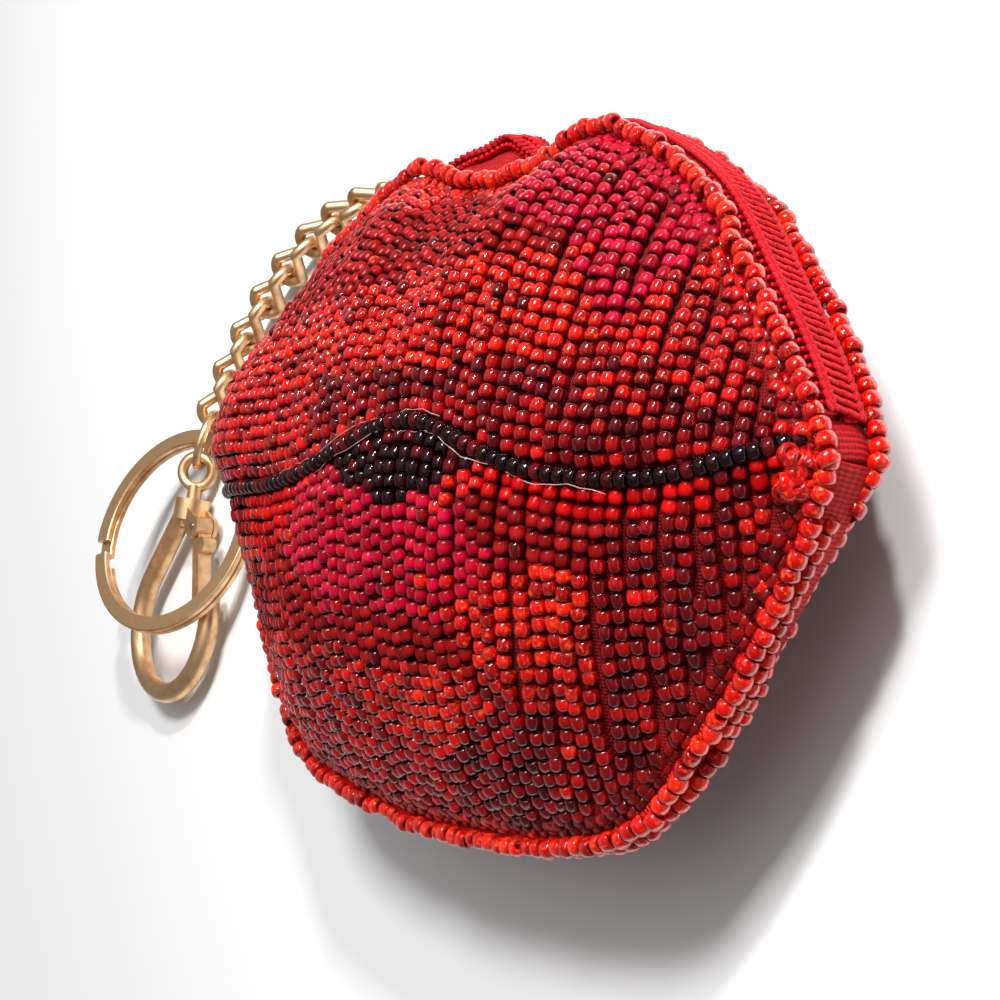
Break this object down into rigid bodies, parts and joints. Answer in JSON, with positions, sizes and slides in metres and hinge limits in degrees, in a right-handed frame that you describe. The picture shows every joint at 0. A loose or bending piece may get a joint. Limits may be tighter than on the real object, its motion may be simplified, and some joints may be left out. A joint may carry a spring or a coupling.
{
  "type": "beaded coin purse",
  "caption": "Lip-shaped beaded coin purse that opens along a top zip, with a hang chain, a split key ring and a swivel snap clasp.",
  "frame": {"origin": "centre of the flat patch on which the back panel rests", "axes": "+Z out of the front panel, +X towards the right mouth corner as the lips are seen, +Y towards the zip edge"},
  "size_m": [0.173, 0.0877, 0.0398],
  "materials": {
    "beaded_cloth": "tightly sewn red glass seed beads on cloth",
    "edge_beads": "bright orange-red glass seed beads",
    "dark_beads": "glossy near-black garnet glass beads",
    "padding": "pressed fibre padding",
    "lining": "red satin lining",
    "zip_tape": "crimson woven tape",
    "zip_coil": "crimson nylon coil",
    "zip_metal": "crimson enamelled zinc",
    "spring_steel": "plain spring steel",
    "antique_gold": "satin antique gold plating"
  },
  "bodies": {
    "purse": {"back_beaded_panel": "beaded_cloth", "lower_lip_beaded_panel": "beaded_cloth", "back_padding": "padding", "lower_lip_padding": "padding", "back_lining": "lining", "lower_lip_lining": "lining", "back_upper_edge_piping": "edge_beads", "lower_lip_edge_piping": "edge_beads", "back_lower_edge_piping": "edge_beads", "zip_tape_front_end": "zip_tape", "zip_coil_front_end": "zip_coil", "zip_tape_back": "zip_tape", "zip_coil_back": "zip_coil", "zip_end_patch_right": "zip_tape", "zip_end_patch_left": "zip_tape", "bottom_seam_allowance": "lining", "mouth_line_beads": "dark_beads", "hang_tab": "zip_tape"},
    "upper_lip_flap": {"upper_lip_beaded_panel": "beaded_cloth", "upper_lip_padding": "padding", "upper_lip_lining": "lining", "upper_lip_edge_piping": "edge_beads", "zip_tape_front": "zip_tape", "zip_coil_front": "zip_coil"},
    "zip_slider": {"zip_slider": "zip_metal"},
    "zip_pull": {"zip_pull": "zip_metal"},
    "d_ring": {"d_ring": "antique_gold"},
    "end_ring": {"end_ring": "antique_gold"},
    "key_ring": {"key_ring": "antique_gold"},
    "clasp_swivel": {"clasp_swivel": "antique_gold"},
    "clasp": {"clasp_body": "antique_gold", "clasp_gate_pin": "spring_steel", "clasp_gate_spring": "spring_steel"},
    "clasp_gate": {"clasp_gate": "antique_gold"},
    "chain_link_01": {"chain_link_01": "antique_gold"},
    "chain_link_02": {"chain_link_02": "antique_gold"},
    "chain_link_03": {"chain_link_03": "antique_gold"},
    "chain_link_04": {"chain_link_04": "antique_gold"},
    "chain_link_05": {"chain_link_05": "antique_gold"},
    "chain_link_06": {"chain_link_06": "antique_gold"},
    "chain_link_07": {"chain_link_07": "antique_gold"},
    "chain_link_08": {"chain_link_08": "antique_gold"},
    "chain_link_09": {"chain_link_09": "antique_gold"},
    "chain_link_10": {"chain_link_10": "antique_gold"},
    "chain_link_11": {"chain_link_11": "antique_gold"}
  },
  "joints": [
    {"name": "mouth_opening", "type": "hinge", "parent": "purse", "child": "upper_lip_flap", "pos_m": [0, 0, 0.031], "axis": [1, 0, 0], "range_deg": [0, 22]},
    {"name": "zip_travel", "type": "hinge", "parent": "purse", "child": "zip_slider", "pos_m": [0.00944, -0.02931, 0.017], "axis": [0, 0, 1], "range_deg": [-28, 0]},
    {"name": "pull_swing", "type": "hinge", "parent": "zip_slider", "child": "zip_pull", "pos_m": [-0.05134, 0.01404, 0.017], "axis": [0, 0, 1], "range_deg": [0, 150]},
    {"name": "tab_flex", "type": "hinge", "parent": "purse", "child": "d_ring", "pos_m": [-0.02941, 0.03285, 0.0036], "axis": [0, 0, 1], "range_deg": [-3, 2]},
    {"name": "chain_bend_01", "type": "hinge", "parent": "d_ring", "child": "chain_link_01", "pos_m": [-0.03301, 0.0351, 0.0036], "axis": [0, 0, 1], "range_deg": [-3.5, 1.5]},
    {"name": "chain_bend_02", "type": "hinge", "parent": "chain_link_01", "child": "chain_link_02", "pos_m": [-0.0392, 0.03897, 0.0036], "axis": [0, 0, 1], "range_deg": [-3.5, 1.5]},
    {"name": "chain_bend_03", "type": "hinge", "parent": "chain_link_02", "child": "chain_link_03", "pos_m": [-0.04602, 0.04159, 0.0036], "axis": [0, 0, 1], "range_deg": [-3.5, 1.5]},
    {"name": "chain_bend_04", "type": "hinge", "parent": "chain_link_03", "child": "chain_link_04", "pos_m": [-0.05321, 0.04286, 0.0036], "axis": [0, 0, 1], "range_deg": [-3.5, 1.5]},
    {"name": "chain_bend_05", "type": "hinge", "parent": "chain_link_04", "child": "chain_link_05", "pos_m": [-0.06051, 0.04273, 0.0036], "axis": [0, 0, 1], "range_deg": [-3.5, 1.5]},
    {"name": "chain_bend_06", "type": "hinge", "parent": "chain_link_05", "child": "chain_link_06", "pos_m": [-0.06765, 0.04121, 0.0036], "axis": [0, 0, 1], "range_deg": [-3.5, 1.5]},
    {"name": "chain_bend_07", "type": "hinge", "parent": "chain_link_06", "child": "chain_link_07", "pos_m": [-0.07437, 0.03836, 0.0036], "axis": [0, 0, 1], "range_deg": [-3.5, 1.5]},
    {"name": "chain_bend_08", "type": "hinge", "parent": "chain_link_07", "child": "chain_link_08", "pos_m": [-0.08049, 0.03438, 0.0036], "axis": [0, 0, 1], "range_deg": [-3.5, 1.5]},
    {"name": "chain_bend_09", "type": "hinge", "parent": "chain_link_08", "child": "chain_link_09", "pos_m": [-0.08591, 0.0295, 0.0036], "axis": [0, 0, 1], "range_deg": [-3.5, 1.5]},
    {"name": "chain_bend_10", "type": "hinge", "parent": "chain_link_09", "child": "chain_link_10", "pos_m": [-0.09061, 0.02391, 0.0036], "axis": [0, 0, 1], "range_deg": [-3.5, 1.5]},
    {"name": "chain_bend_11", "type": "hinge", "parent": "chain_link_10", "child": "chain_link_11", "pos_m": [-0.09469, 0.01785, 0.0036], "axis": [0, 0, 1], "range_deg": [-3.5, 1.5]},
    {"name": "end_ring_turn", "type": "hinge", "parent": "chain_link_11", "child": "end_ring", "pos_m": [-0.09834, 0.01153, 0.0036], "axis": [0, 0, 1], "range_deg": [-4, 1.5]},
    {"name": "key_ring_turn", "type": "hinge", "parent": "end_ring", "child": "key_ring", "pos_m": [-0.09973, 0.00807, 0.0041], "axis": [0, 0, 1], "range_deg": [-4, 4]},
    {"name": "clasp_swing", "type": "hinge", "parent": "end_ring", "child": "clasp_swivel", "pos_m": [-0.10072, 0.00421, 0.0036], "axis": [0, 0, 1], "range_deg": [-4, 1]},
    {"name": "clasp_swivel_turn", "type": "hinge", "parent": "clasp_swivel", "child": "clasp", "pos_m": [-0.10123, 0.00264, 0.0036], "axis": [-0.0349, -0.9994, 0], "range_deg": [-8, 0]},
    {"name": "gate_squeeze", "type": "hinge", "parent": "clasp", "child": "clasp_gate", "pos_m": [-0.09695, -0.00671, 0.0035], "axis": [0, 0, 1], "range_deg": [-24, 0], "stiffness_Nm_per_rad": 0.02, "springref_deg": 8.59}
  ]
}
